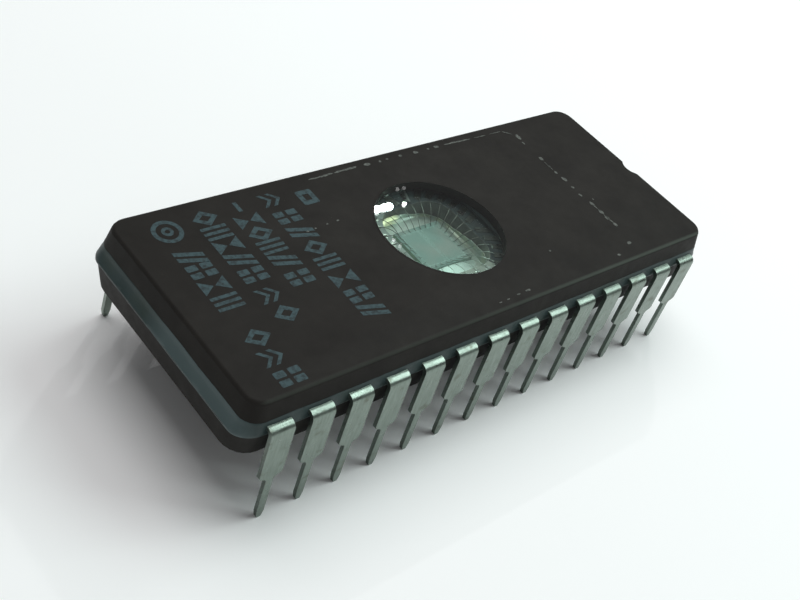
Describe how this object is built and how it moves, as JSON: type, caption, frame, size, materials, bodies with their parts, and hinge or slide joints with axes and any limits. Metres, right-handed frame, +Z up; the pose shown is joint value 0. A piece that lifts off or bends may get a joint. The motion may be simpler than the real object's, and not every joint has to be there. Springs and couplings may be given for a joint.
{
  "type": "windowed ceramic dual in-line memory chip",
  "caption": "Ceramic dual in-line memory chip with a round erasing window, a glass seal, an index notch and formed leads along both sides over an open underside.",
  "frame": {"origin": "on the ground below the middle of the package, at the level of the lead tips", "axes": "+X along the package to the end with the index notch, +Y across it to the row of leads 1 to 14, +Z up through the window"},
  "size_m": [0.0376, 0.016, 0.0083],
  "materials": {
    "brown_ceramic": "pressed, matt to satin",
    "seal_glass": "opaque fused glass, satin",
    "window_glass": "clear, polished",
    "cavity_metal": "satin metallised",
    "die_attach_paste": "matt silver-filled",
    "silicon": "polished, patterned",
    "tinned_lead": "dull solder-dipped"
  },
  "bodies": {
    "root": {"ceramic_base": "brown_ceramic", "ceramic_lid": "brown_ceramic", "seal_glass": "seal_glass", "window_lens": "window_glass", "cavity_floor_metal": "cavity_metal", "die_attach": "die_attach_paste", "die": "silicon", "lead_01": "tinned_lead", "lead_02": "tinned_lead", "lead_03": "tinned_lead", "lead_04": "tinned_lead", "lead_05": "tinned_lead", "lead_06": "tinned_lead", "lead_07": "tinned_lead", "lead_08": "tinned_lead", "lead_09": "tinned_lead", "lead_10": "tinned_lead", "lead_11": "tinned_lead", "lead_12": "tinned_lead", "lead_13": "tinned_lead", "lead_14": "tinned_lead", "lead_15": "tinned_lead", "lead_16": "tinned_lead", "lead_17": "tinned_lead", "lead_18": "tinned_lead", "lead_19": "tinned_lead", "lead_20": "tinned_lead", "lead_21": "tinned_lead", "lead_22": "tinned_lead", "lead_23": "tinned_lead", "lead_24": "tinned_lead", "lead_25": "tinned_lead", "lead_26": "tinned_lead", "lead_27": "tinned_lead", "lead_28": "tinned_lead"}
  },
  "joints": []
}
